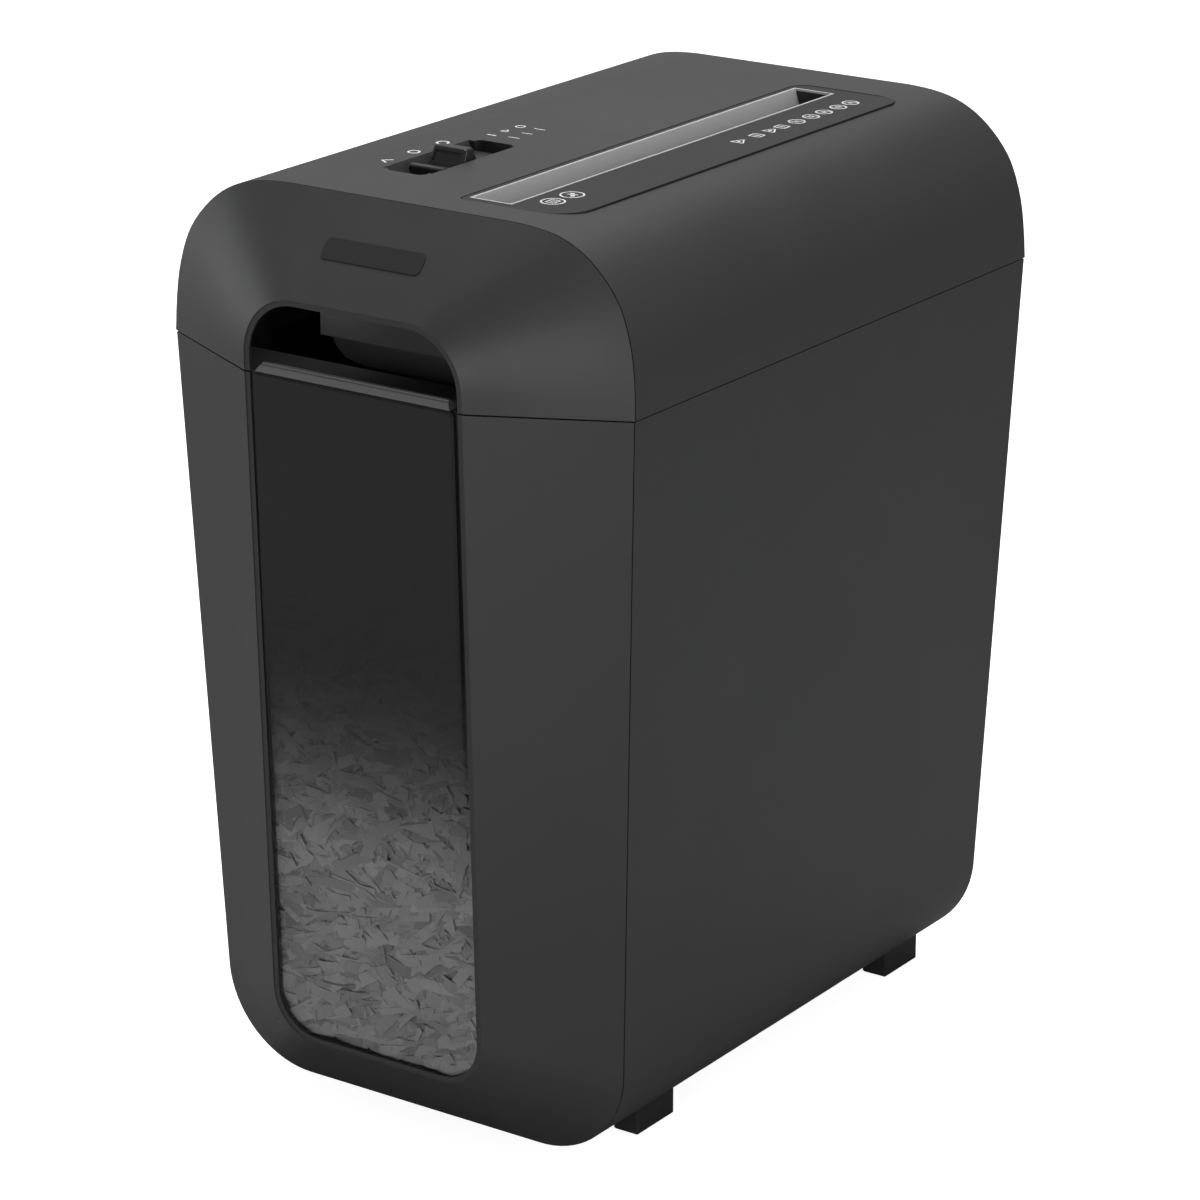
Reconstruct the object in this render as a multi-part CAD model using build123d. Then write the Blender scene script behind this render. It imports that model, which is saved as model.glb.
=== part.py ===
from build123d import *
import os, math

# Paper shredder. Millimetres, +Z up, front faces -Y, base of the feet at Z = 0.
# Everything is drawn about the lid seam and moved to the base at the end.

# ---- driving dimensions ------------------------------------------------
FOOT_H = 9.0            # height of the feet under the cabinet
BODY_H = 305.4          # cabinet height from its underside to the lid seam
LID_H = 65.7            # lid height above the seam
HALF_W = 107.2          # half width at the seam
DEPTH = 282.5           # depth between the side rims at the seam
TAPER_X = 0.038         # side lean of the cabinet
TAPER_F = 0.032         # front rim lean of the cabinet
TAPER_B = 0.034         # back rim lean of the cabinet
LID_F = 0.03            # front rim lean of the lid
LID_B = 0.045           # back rim lean of the lid
NOSE = 28.3             # how far the front bulges from its rim at the seam
CORNER_R = 40.3         # bottom corner radius of the cabinet
BEZ_W = 50.8            # half width of the window bezel
BEZ_T = 30.8            # bezel top
BEZ_B = -275.2          # bezel bottom
BEZ_RT = 24.5
BEZ_RB = 20.5
RING = 2.4              # width of the flat border round the bezel
WALL = 2.5              # shell wall
SEAM = 0.6              # shadow gap under the lid
BIN_TRAVEL = 250.0
CUT_X = 27.1            # middle of the paper slot and of the cutters
CUT_Z = 26.0
CUT_CD = 36.0           # cutter shaft spacing
CUT_R = 19.2
DISC_T = 3.6
PITCH = 8.0
N_DISC = 27
CUT_Y0 = 25.5           # front face of the first disc
PL_F = (17.0, 19.5)     # front frame plate
PL_R = (249.0, 251.5)   # rear frame plate
MOT = (-50.0, 32.0)     # motor axis
MOT_R = 25.0

DZ = FOOT_H + BODY_H
GLAND_OUT = 1.7         # how far the mains gland stands behind the cabinet
DY = -(DEPTH + GLAND_OUT - NOSE - TAPER_F * BEZ_T) / 2.0
os.makedirs("parts", exist_ok=True)


def put(name, shape):
    solids = shape.solids()
    out = Compound(children=[s.moved(Location((0, DY, DZ))) for s in solids]) if len(solids) > 1 else solids[0].moved(Location((0, DY, DZ)))
    export_step(out, "parts/" + name + ".step")


def bx(x0, x1, y0, y1, z0, z1):
    return Pos((x0 + x1) / 2, (y0 + y1) / 2, (z0 + z1) / 2) * Box(x1 - x0, y1 - y0, z1 - z0)


def yc(x, z, r, y0, y1):
    return Pos(x, (y0 + y1) / 2, z) * Rot(90, 0, 0) * Cylinder(r, y1 - y0)


def zc(x, y, r, z0, z1):
    return Pos(x, y, (z0 + z1) / 2) * Cylinder(r, z1 - z0)


def ypoly(pts, y0, y1):
    """Straight prism along Y from points in X and Z."""
    w = Wire.make_polygon([(x, y0, z) for x, z in pts], close=True)
    return extrude(Face(w), amount=y1 - y0, dir=(0, 1, 0))


def xpoly(pts, x0, x1):
    """Straight prism along X from points in Y and Z."""
    w = Wire.make_polygon([(x0, y, z) for y, z in pts], close=True)
    return extrude(Face(w), amount=x1 - x0, dir=(1, 0, 0))


def zpoly(pts, z0, z1):
    w = Wire.make_polygon([(x, y, z0) for x, y in pts], close=True)
    return extrude(Face(w), amount=z1 - z0, dir=(0, 0, 1))


def ngon(cx, cz, r, n, ph=0.0):
    return [(cx + r * math.cos(math.radians(ph + 360 * i / n)), cz + r * math.sin(math.radians(ph + 360 * i / n))) for i in range(n)]


def arc(c, r, a0, a1, fy):
    p = [(c[0] + r * math.cos(math.radians(a)), c[1] + r * math.sin(math.radians(a))) for a in (a0, (a0 + a1) / 2, a1)]
    return ThreePointArc(*[(x, fy(z), z) for x, z in p])


def ln(p, q, fy):
    return Line((p[0], fy(p[1]), p[1]), (q[0], fy(q[1]), q[1]))


# ---- outlines in X and Z, each on a plane y = fy(z) ----------------------
def body_wire(t, top, fy):
    """U-shaped cabinet outline, inset by t, closed along z = top."""
    r = CORNER_R - t
    zc0 = -BODY_H + CORNER_R
    xs = lambda z: HALF_W + TAPER_X * z - t
    cx = xs(zc0) - r
    R, L = (xs(top), top), (-xs(top), top)
    return Wire([ln(L, R, fy), ln(R, (xs(zc0), zc0), fy), arc((cx, zc0), r, 0, -90, fy),
                 ln((cx, zc0 - r), (-cx, zc0 - r), fy), arc((-cx, zc0), r, 270, 180, fy), ln((-xs(zc0), zc0), L, fy)])


def bezel_low(t, top, fy, rb=None, b=None, w=None):
    r = (rb if rb is not None else BEZ_RB) - t
    w = (w if w is not None else BEZ_W) - t
    z = (b if b is not None else BEZ_B) + t
    return Wire([ln((-w, top), (w, top), fy), ln((w, top), (w, z + r), fy), arc((w - r, z + r), r, 0, -90, fy),
                 ln((w - r, z), (-w + r, z), fy), arc((-w + r, z + r), r, 270, 180, fy), ln((-w, z + r), (-w, top), fy)])


LID = [(107.3, 8), (106.75, 15.5), (105.6, 24), (103.6, 32), (100.3, 40.5), (94.3, 49), (85.5, 57), (74, 62.75), (62, 65.1), (52, 65.7)]


def inset(pts, t):
    out = []
    for i, p in enumerate(pts):
        a = pts[max(i - 1, 0)]
        b = pts[min(i + 1, len(pts) - 1)]
        dx, dz = b[0] - a[0], b[1] - a[1]
        if i == len(pts) - 1:
            dx, dz = -1.0, 0.0
        n = math.hypot(dx, dz)
        out.append((p[0] - t * dz / n, p[1] + t * dx / n))
    return out


def lid_wire(t, bot, fy):
    p = inset(LID, t)
    R0 = (107.6 - t, bot)
    q = [(-x, z) for x, z in p]
    sr = Spline(*[(x, fy(z), z) for x, z in p])
    sl = Spline(*[(x, fy(z), z) for x, z in reversed(q)])
    return Wire([ln((-R0[0], bot), R0, fy), ln(R0, p[0], fy), sr, ln(p[-1], q[-1], fy), sl, ln(q[0], (-R0[0], bot), fy)])


def bezel_top(t, bot, fy):
    r = BEZ_RT - t
    w = BEZ_W - t
    z = BEZ_T - t
    return Wire([ln((-w, bot), (w, bot), fy), ln((w, bot), (w, z - r), fy), arc((w - r, z - r), r, 0, 90, fy),
                 ln((w - r, z), (-w + r, z), fy), arc((-w + r, z - r), r, 90, 180, fy), ln((-w, z - r), (-w, bot), fy)])


def loft2(a, b):
    return Solid.make_loft([a, b], True)


f_body = lambda z: -TAPER_F * z
b_body = lambda z: DEPTH + TAPER_B * z
f_lid = lambda z: LID_F * z
b_lid = lambda z: DEPTH - LID_B * z
f_bez = lambda z: -NOSE - TAPER_F * z


def sh(f, d):
    return lambda z: f(z) + d


# ---- cabinet ---------------------------------------------------------------
TOPC = -SEAM
cab = loft2(body_wire(0, TOPC, sh(f_body, 0.7)), body_wire(0, TOPC, b_body))
cab -= loft2(body_wire(WALL, 10, sh(f_body, -8)), body_wire(WALL, 10, sh(b_body, -WALL)))
# inner lip that keys the lid and darkens the seam
lip = loft2(body_wire(WALL + 0.3, 5, sh(f_body, 4)), body_wire(WALL + 0.3, 5, sh(b_body, -WALL - 0.3)))
lip -= loft2(body_wire(WALL + 2.0, 12, sh(f_body, 0)), body_wire(WALL + 2.0, 12, sh(b_body, -WALL - 2.0)))
lip &= bx(-120, 120, 6, 300, -6, 4)
LIPZ = lip & bx(-120, 120, 6, 300, -6, 3.2)
# ledge under the lip ties it to the wall
ledge = loft2(body_wire(WALL - 0.5, 5, sh(f_body, 4)), body_wire(WALL - 0.5, 5, sh(b_body, -WALL + 0.5)))
ledge -= loft2(body_wire(WALL + 2.0, 12, sh(f_body, 0)), body_wire(WALL + 2.0, 12, sh(b_body, -WALL - 2.0)))
ledge &= bx(-120, 120, 6, 300, -6, -3.5)
cab = cab + LIPZ + ledge
# rear vent slots
for k in range(7):
    cab -= bx(-60 + k * 14, -52 + k * 14, 260, 300, -60, -30)
# mains gland bore in the rear wall
GL = (72.0, -40.0)
cab -= yc(GL[0], GL[1], 8.0, 262, 300)
# foot screw holes
FEET = [(sx * 68.0, y) for sx in (-1, 1) for y in (64.9, 253.0)]
for x, y in FEET:
    cab -= zc(x, y, 1.6, -BODY_H - 1, -BODY_H + 6)
put("cabinet_shell", cab)

put("cord_gland", (yc(GL[0], GL[1], 7.95, 271, DEPTH + GLAND_OUT)) + yc(GL[0], GL[1], 11.0, 281.7, 282.9) + yc(GL[0], GL[1], 11.0, 272.5, 278.2) - yc(GL[0], GL[1], 3.6, 255, 300))

feet = None
for x, y in FEET:
    sgn = 1 if x > 0 else -1
    blk = Pos(sgn * 68.3, y, -BODY_H - FOOT_H / 2) * Box(12, 26, FOOT_H)
    blk = fillet(blk.edges().filter_by(Axis.Z), 1.2)
    blk = chamfer(blk.faces().sort_by(Axis.Z)[0].edges(), 0.6)
    blk = blk - zc(x, y, 3.2, -BODY_H - FOOT_H - 1, -BODY_H - FOOT_H + 4) - zc(x, y, 1.7, -BODY_H - FOOT_H - 1, -BODY_H + 1)
    feet = blk if feet is None else feet + blk
# the underside of the cabinet curves up at the corners, so the feet reach up to it
pads = None
for x, y in FEET:
    sgn = 1 if x > 0 else -1
    p = bx(sgn * 68.3 - 6, sgn * 68.3 + 6, y - 13, y + 13, -BODY_H - 1, -BODY_H + 8)
    p = fillet(p.edges().filter_by(Axis.Z), 1.2)
    p -= loft2(body_wire(-0.02, 10, sh(f_body, -8)), body_wire(-0.02, 10, sh(b_body, 8)))
    p -= zc(x, y, 1.7, -BODY_H - 2, -BODY_H + 9)
    pads = p if pads is None else pads + p
put("rubber_feet", feet + pads)
scr = None
for x, y in FEET:
    s = zc(x, y, 2.9, -BODY_H - FOOT_H + 1.6, -BODY_H - FOOT_H + 4) + zc(x, y, 1.55, -BODY_H - FOOT_H + 4, -BODY_H + 5.4)
    s -= bx(x - 2, x + 2, y - 0.4, y + 0.4, -BODY_H - FOOT_H, -BODY_H - FOOT_H + 2.4)
    scr = s if scr is None else scr + s
put("foot_screws", scr)

# ---- bin -------------------------------------------------------------------
nose = loft2(body_wire(0, TOPC, f_body), bezel_low(0, TOPC, f_bez))
inner = loft2(body_wire(WALL + 0.8, TOPC - 2.5, sh(f_body, 1.0)), bezel_low(0.6, TOPC - 2.5, sh(f_bez, WALL + 0.3)))
front = nose - inner
full = nose + loft2(body_wire(0.02, TOPC, sh(f_body, -0.05)), body_wire(0.02, TOPC, sh(f_body, 40)))
collar = loft2(body_wire(WALL + 0.7, TOPC - 6, sh(f_body, -8)), body_wire(WALL + 0.7, TOPC - 6, sh(f_body, 30)))
collar -= loft2(body_wire(WALL + 2.9, TOPC + 2, sh(f_body, -12)), body_wire(WALL + 2.9, TOPC + 2, sh(f_body, 34)))
collar = collar & bx(-150, 150, -12, 12, -320, TOPC - 6)
collar = collar & full
front = front + collar
# window opening with its flat border
front -= loft2(bezel_low(0, 4, sh(f_bez, -0.3)), bezel_low(0.4, 4, sh(f_bez, 0.35)))
front -= loft2(bezel_low(RING, 4, sh(f_bez, -0.5)), bezel_low(RING, 4, sh(f_bez, 12)))
front -= loft2(bezel_low(RING - 1.0, 4, sh(f_bez, 1.4)), bezel_low(RING - 1.0, 4, sh(f_bez, 12)))
put("bin_front", front)

WIN_W, WIN_B, WIN_R = 46.9, -271.2, 16.6


def win(t, fy):
    w, b, top, r, rt = WIN_W - t, WIN_B + t, 0.2 - t, WIN_R - t, 2.4 - t
    return Wire([ln((-w + rt, top), (w - rt, top), fy), arc((w - rt, top - rt), rt, 90, 0, fy), ln((w, top - rt), (w, b + r), fy),
                 arc((w - r, b + r), r, 0, -90, fy), ln((w - r, b), (-w + r, b), fy), arc((-w + r, b + r), r, 270, 180, fy),
                 ln((-w, b + r), (-w, top - rt), fy), arc((-w + rt, top - rt), rt, 180, 90, fy)])


f_win = lambda z: -29.25 - 0.0285 * z     # the window stands a little proud of the bezel
window = loft2(win(0.9, f_win), win(0, sh(f_win, 0.9))) + loft2(win(0, sh(f_win, 0.9)), win(0, sh(f_bez, 2.8)))
# bonding flange behind the border
window += loft2(win(-2.2, sh(f_bez, 1.5)), win(-2.2, sh(f_bez, 2.8))) & bx(-60, 60, -40, 0, -300, 0.2)
put("bin_window", window)

# pull lip along the top of the window: sloping band, groove and a thin top edge, mitred at the ends
grip = xpoly([(-28.5, 0.4), (-28.6, 0.7), (-27.35, 2.9), (-27.1, 2.2), (-26.75, 2.25), (-26.5, 3.65), (-25.8, 3.9), (-25.2, 3.4), (-24.0, 2.0), (-17.4, 1.0), (-17.4, -18), (-22.9, -18), (-22.9, 0.4)], -45.4, 45.4)
for s in (-1, 1):
    grip -= ypoly([(s * 45.5, 0.35), (s * 42.8, 4.4), (s * 50, 4.4), (s * 50, 0.35)], -30, -10)
    grip -= bx(min(s * 44.6, s * 50), max(s * 44.6, s * 50), -24.2, -10, -20, 5)
put("bin_grip_lip", grip)

# tub: flat sheet walls, rounded lower corners
TW, TR, TB = 88.0, 31.0, -296.2
TT = -16.0


def tub_wire(t, top, y):
    w, r, b = TW - t, TR - t, TB + t
    fy = lambda z: y
    return Wire([ln((-w, top), (w, top), fy), ln((w, top), (w, b + r), fy), arc((w - r, b + r), r, 0, -90, fy),
                 ln((w - r, b), (-w + r, b), fy), arc((-w + r, b + r), r, 270, 180, fy), ln((-w, b + r), (-w, top), fy)])


tub = loft2(tub_wire(0, TT, 12), tub_wire(0, TT, 268)) - loft2(tub_wire(2, 10, 5), tub_wire(2, 10, 266))
fl = loft2(tub_wire(-4.5, TT, 12), tub_wire(-4.5, TT, 14)) - loft2(tub_wire(1, 10, 5), tub_wire(1, 10, 30))
tub = tub + fl
put("bin_tub", tub)
glides = bx(88, 96, 20, 262, -42, -38) + bx(-96, -88, 20, 262, -42, -38)
put("bin_glides", glides)
rails = None
for s in (-1, 1):
    r = bx(92, 103, 20, 268, -46.5, -42.3) + bx(97, 103, 20, 268, -46.5, -33)
    r = r & loft2(body_wire(WALL, 10, sh(f_body, -8)), body_wire(WALL, 10, sh(b_body, -WALL)))
    if s < 0:
        r = mirror(r, about=Plane.YZ)
    rails = r if rails is None else rails + r
put("cabinet_rails", rails)
heap = loft2(tub_wire(2.6, -112, 15), tub_wire(2.6, -112, 264))
nosefill = loft2(bezel_low(2.8, -108, sh(f_bez, 3.3)), bezel_low(2.8, -108, sh(f_bez, 60))) & bx(-60, 60, -40, 20, -300, -100)
heap = heap + nosefill
put("shredded_paper", heap)

# ---- lid -------------------------------------------------------------------
lid = loft2(lid_wire(0, 0, f_lid), lid_wire(0, 0, b_lid)) + loft2(lid_wire(0, 0, f_lid), bezel_top(0, 0, f_bez))
lin = loft2(lid_wire(WALL, -5, sh(f_lid, -0.5)), lid_wire(WALL, -5, sh(b_lid, -WALL))) + loft2(lid_wire(WALL, -5, sh(f_lid, 0.2)), bezel_top(1.5, -5, sh(f_bez, WALL + 0.2)))
SLOT = (18.4, 35.8, 23.4, 246.0)
WELL = (-37.5, -16.0, 39.5, 99.5)
LAB = (14.5, 65.0, 18.5, 254.5)
blocks = bx(WELL[0] - 3, WELL[1] + 3, WELL[2] - 3, WELL[3] + 3, 56.0, 64)
blocks += bx(LAB[0] - 3, 70, LAB[2] - 3, LAB[3] + 3, 61.5, 64)
top = lid - (lin - blocks)
# shallow groove round the front rim, in line with the gap beside the bin front
top -= loft2(lid_wire(-1.0, -3, sh(f_lid, 0.05)), lid_wire(-1.0, -3, sh(f_lid, 0.65))) - loft2(lid_wire(0.6, -6, sh(f_lid, -1)), lid_wire(0.6, -6, sh(f_lid, 2)))
# keep the collar clear and cut the hand-hold
top -= loft2(bezel_top(0, -4, sh(f_bez, -0.3)), bezel_top(0.4, -4, sh(f_bez, 0.35)))
top -= loft2(bezel_top(RING, -4, sh(f_bez, -0.5)), bezel_top(RING, -4, sh(f_bez, 22)))
top -= loft2(bezel_top(RING - 1.2, -4, sh(f_bez, 1.4)), bezel_top(RING - 1.2, -4, sh(f_bez, 22)))


def rrect(x0, x1, y0, y1, rs, z0, z1):
    """rs = radii at near-left, near-right, far-right, far-left"""
    pts = [(x0, y0), (x1, y0), (x1, y1), (x0, y1)]
    w = Wire.make_polygon([(x, y, z0) for x, y in pts], close=True)
    s = extrude(Face(w), amount=z1 - z0, dir=(0, 0, 1))
    for (px, py), r in zip(pts, rs):
        e = [q for q in s.edges().filter_by(Axis.Z) if abs(q.center().X - px) < 0.01 and abs(q.center().Y - py) < 0.01]
        s = fillet(e, r)
    return s


top -= rrect(*LAB, (4, 16, 9, 8), LID_H - 1.2, LID_H + 2)
top -= bx(SLOT[0] - 3.2, SLOT[1] + 3.2, SLOT[2] - 3.2, SLOT[3] + 3.2, 40, LID_H + 2)
well = rrect(WELL[0] + 2.8, WELL[1] - 1.2, WELL[2], WELL[3], (2.5, 3, 2.5, 3), 59.7, LID_H + 2)
top -= well
top -= ypoly([(WELL[0], LID_H + 0.05), (WELL[0] + 2.85, 60.2), (-28, 60.2), (-28, LID_H + 1), (WELL[0], LID_H + 1)], 41.5, 96.5)
top -= ypoly([(WELL[1], LID_H + 0.05), (WELL[1] - 1.25, 62.0), (-28, 62.0), (-28, LID_H + 1), (WELL[1], LID_H + 1)], 44.0, 97.5)
top -= bx(-29.5, -24, 52.2, 87, 50, 62)
for yy in (110.0, 118.6, 127.3):
    top -= bx(-28.05, -22.55, yy - 0.6, yy + 0.6, 60, LID_H + 2)
for k in range(12):
    top -= bx(-66 + 8 * k, -62 + 8 * k, 268, 300, 18, 40)
put("top_cover", top)

lab = rrect(LAB[0] + 0.35, LAB[1] - 0.35, LAB[2] + 0.35, LAB[3] - 0.35, (3.7, 15.7, 8.7, 7.7), LID_H - 1.2, LID_H - 0.15)
lab -= bx(SLOT[0] - 1.0, SLOT[1] + 1.0, SLOT[2] - 1.0, SLOT[3] + 1.0, 60, 70)
put("slot_label_panel", lab)

# funnel of the paper slot: steep walls down to a narrow throat above the cutters
zt, zb = LID_H + 0.05, 47.6
liner = bx(SLOT[0] - 0.9, SLOT[1] + 0.9, SLOT[2] - 0.9, SLOT[3] + 0.9, zb, zt) + bx(SLOT[0] - 3.1, SLOT[1] + 3.1, SLOT[2] - 3.1, SLOT[3] + 3.1, zb, LID_H - 1.3)
cut = ypoly([(SLOT[0], zt + 1), (SLOT[1], zt + 1), (SLOT[1], zt - 3), (SLOT[1] - 6.2, zb - 1), (SLOT[0] + 5.6, zb - 1), (SLOT[0] + 2.0, zt - 6.5), (SLOT[0] + 0.2, zt)], SLOT[2], SLOT[3])
put("slot_liner", liner - cut)

# ---- switch ----------------------------------------------------------------
KY = 72.0
knob = bx(-34.4, -17.5, 53.4, 94.6, 59.95, 62.4)
knob = fillet(knob.edges().filter_by(Axis.Z), 2.0)
stop = bx(-34.1, -18.3, 53.5, 57.2, 62.0, 65.1)
stop = fillet(stop.edges().filter_by(Axis.X).group_by(Axis.Z)[-1], 0.9)
thumb = loft2(Wire.make_polygon([(-35.4, KY - 5.6, 62.2), (-18.2, KY - 5.6, 62.2), (-18.2, KY + 5.6, 62.2), (-35.4, KY + 5.6, 62.2)], close=True),
              Wire.make_polygon([(-34.6, KY - 1.9, 69.4), (-19.0, KY - 1.9, 69.4), (-19.0, KY + 2.9, 69.4), (-34.6, KY + 2.9, 69.4)], close=True))
thumb -= bx(-37.3, -34.4, KY - 8, KY + 8, 59, 63.6)
thumb = fillet([e for e in thumb.edges() if 65 < e.center().Z < 68.5], 1.1)
thumb = fillet(thumb.edges().group_by(Axis.Z)[-1], 0.9)
# finger dish in the near face of the thumb
thumb -= loft2(Wire.make_polygon([(-33.4, KY - 12, 63.9), (-20.2, KY - 12, 63.9), (-20.2, KY - 4.2, 63.9), (-33.4, KY - 4.2, 63.9)], close=True),
               Wire.make_polygon([(-33.0, KY - 12, 68.0), (-20.6, KY - 12, 68.0), (-20.6, KY - 2.1, 68.0), (-33.0, KY - 2.1, 68.0)], close=True))
knob = knob + stop + thumb + bx(-28.6, -24.9, KY - 4, KY + 4, 53.6, 61.3)
put("slide_switch_knob", knob)
sw = bx(-34, -19.5, 50, 100, 44, 55.6) - bx(-29.6, -23.9, 52.2, 97.5, 52.8, 60)
put("slide_switch_body", sw)
leds = None
for yy in (110.0, 118.6, 127.3):
    b = bx(-28.0, -22.6, yy - 0.55, yy + 0.55, 52, LID_H - 0.1)
    leds = b if leds is None else leds + b
put("led_light_bars", leds)
pcb = bx(-46, -10, 42, 140, 42.4, 44.0)
for x, y in ((-43, 45), (-13, 45), (-43, 137), (-13, 137)):
    pcb -= zc(x, y, 1.6, 40, 46)
put("control_board", pcb)
post = None
for x, y in ((-43, 45), (-13, 45), (-43, 137), (-13, 137)):
    b = zc(x, y, 3.0, 44.0, 63.1 if y > 100 else 55.9) + zc(x, y, 1.5, 41.5, 44.0) + zc(x, y, 2.8, 40.4, 42.4)
    post = b if post is None else post + b
put("board_posts", post)
parts = bx(-27, -20, 108, 129, 44, 51.6) + bx(-43, -31, 104, 130, 44, 52) + bx(-19, -12, 60, 76, 44, 48)
put("board_components", parts)

# ---- head frame ------------------------------------------------------------
XL, XR = CUT_X - CUT_CD / 2, CUT_X + CUT_CD / 2
dx, dz = XL - MOT[0], CUT_Z - MOT[1]
dd = math.hypot(dx, dz)
R1, R2 = 30.0, 36.0     # motor to idler, idler to cutter shaft
aa = (R1 * R1 - R2 * R2 + dd * dd) / (2 * dd)
hh = math.sqrt(R1 * R1 - aa * aa)
IDX = MOT[0] + aa * dx / dd + hh * dz / dd
IDZ = MOT[1] + aa * dz / dd - hh * dx / dd
print("idler", IDX, IDZ, "DY", DY, "DZ", DZ)
TIE = [(-4.0, 50.0), (-12.0, 2.0), (66.0, 2.0), (66.0, 46.0)]


def plate(y0, y1, rear):
    p = ypoly([(-78 if rear else -20, -7), (74, -7), (74, 40), (66, 54), (42, 54), (42, 47.0), (12, 47.0), (12, 56), (-20, 56)] + ([(-74, 56), (-78, 48)] if rear else []), y0, y1)
    for x in (XL, XR):
        p -= yc(x, CUT_Z, 10.02, y0 - 1, y1 + 1)
    for x, z in TIE:
        p -= yc(x, z, 3.05, y0 - 1, y1 + 1)
    if rear:
        p -= yc(MOT[0], MOT[1], 8.0, y0 - 1, y1 + 1)
        p -= yc(IDX, IDZ, 3.02, y0 - 1, y1 + 1)
        for s in (-1, 1):
            p -= yc(MOT[0], MOT[1] + s * 17, 2.05, y0 - 1, y1 + 1)
    return p


put("front_frame_plate", plate(PL_F[0], PL_F[1], False))
put("rear_frame_plate", plate(PL_R[0], PL_R[1], True))
rods = None
nuts = None
for x, z in TIE:
    b = yc(x, z, 4.0, PL_F[1], PL_R[0]) + yc(x, z, 3.0, PL_F[0] - 3.6, PL_R[1] + 0.8)
    rods = b if rods is None else rods + b
    for y0, y1 in ((PL_F[0] - 2.8, PL_F[0]),):
        n = ypoly(ngon(x, z, 5.6, 6), y0, y1) - yc(x, z, 3.02, y0 - 1, y1 + 1)
        nuts = n if nuts is None else nuts + n
put("tie_rods", rods)
put("tie_rod_nuts", nuts)
bush = None
for x in (XL, XR):
    for y0, y1 in ((PL_F[0] - 1.0, PL_F[1] + 2.0), (PL_R[0] - 2.0, PL_R[1] + 1.0)):
        b = yc(x, CUT_Z, 10.0, y0, y1) - yc(x, CUT_Z, 7.06, y0 - 1, y1 + 1)
        bush = b if bush is None else bush + b
put("shaft_bushes", bush)
deck = bx(-104, 104, 12.6, 279, -13.4, -11.4) - bx(-14, 68, 26, 247, -20, 0)
for x in (-86, 86):
    for y in (24, 262):
        deck -= zc(x, y, 2.1, -20, 0)
put("chassis_deck", deck)
brk = bx(-20, 74, 12.8, 17, -11.4, -7) + bx(-78, -66, 240, 249, -11.4, -2) + bx(52, 74, 251.5, 260, -11.4, -2)
put("frame_brackets", brk)
posts = None
scw = None
for x in (-86, 86):
    for y in (24, 262):
        b = zc(x, y, 5.0, -11.4, 36) - zc(x, y, 1.55, -12, 10)
        posts = b if posts is None else posts + b
        s = zc(x, y, 3.6, -15.6, -13.4) + zc(x, y, 1.5, -13.4, 6)
        scw = s if scw is None else scw + s
put("lid_posts", posts)
put("lid_screws", scw)

# ---- cutters ---------------------------------------------------------------
AF = 18.0


def hexpts(x, z, af, ph=0.0):
    return ngon(x, z, af / math.sqrt(3), 6, ph)


def disc(x, z, y0, y1, ph):
    pts = []
    for i in range(14):
        a = math.radians(ph + i * 360 / 14)
        b2 = math.radians(ph + (i + 0.12) * 360 / 14)
        c = math.radians(ph + (i + 0.55) * 360 / 14)
        pts += [(x + CUT_R * math.cos(a), z + CUT_R * math.sin(a)), (x + (CUT_R - 1.3) * math.cos(b2), z + (CUT_R - 1.3) * math.sin(b2)), (x + (CUT_R - 0.5) * math.cos(c), z + (CUT_R - 0.5) * math.sin(c))]
    return ypoly(pts, y0, y1) - ypoly(hexpts(x, z, AF), y0 - 1, y1 + 1)


def shaft(x, rear):
    s = ypoly(hexpts(x, CUT_Z, AF - 0.02), PL_F[1] + 2.3, PL_R[0] - 2.3)
    s += yc(x, CUT_Z, 7.0, PL_F[0] - 1.2, PL_F[1] + 2.4) + yc(x, CUT_Z, 7.0, PL_R[0] - 2.4, PL_R[1] + 1.3)
    s += ypoly(hexpts(x, CUT_Z, 11.98), 5.0, PL_F[0] - 1.1)
    if rear:
        s += ypoly(hexpts(x, CUT_Z, 11.98), PL_R[1] + 1.2, 264)
    return s


put("cutter_shaft_left", shaft(XL, True))
put("cutter_shaft_right", shaft(XR, False))
for nm, x, off, n in (("cutter_discs_left", XL, 0.0, N_DISC), ("cutter_discs_right", XR, PITCH / 2, N_DISC)):
    ds = []
    for k in range(n):
        y0 = CUT_Y0 + off + k * PITCH
        ds += disc(x, CUT_Z, y0, y0 + DISC_T, 9.0 * k).solids()
    put(nm, Compound(children=ds))


def comb(side):
    x0 = XL if side < 0 else XR
    xo = x0 + side * 27.0
    sm, lg = sorted((xo, x0 + side * 20.6))
    c = bx(sm, lg, PL_F[1], PL_R[0], CUT_Z - 12, CUT_Z - 5)
    off = PITCH / 2 if side < 0 else 0.0
    for k in range(N_DISC):
        yy = CUT_Y0 + off + k * PITCH + 0.6
        a, b = sorted((x0 + side * 21, x0 + side * 12.0))
        c += bx(a, b, yy, yy + 2.4, CUT_Z - 11, CUT_Z - 6)
    return c


put("stripper_comb_left", comb(-1))
put("stripper_comb_right", comb(1))


def gear(cx, cz, m, n, y0, y1, ph, bore):
    r = m * n / 2.0
    ro, rr = r + 0.85 * m, r - 1.2 * m
    pts = []
    for i in range(n):
        a = ph + i * 360.0 / n
        for rad, w in ((rr, -1.75), (r, -1.26), (ro, -0.55), (ro, 0.55), (r, 1.26), (rr, 1.75)):
            t = math.radians(a) + (w * m / 2) / rad
            pts.append((cx + rad * math.cos(t), cz + rad * math.sin(t)))
    return ypoly(pts, y0, y1) - bore


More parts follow.
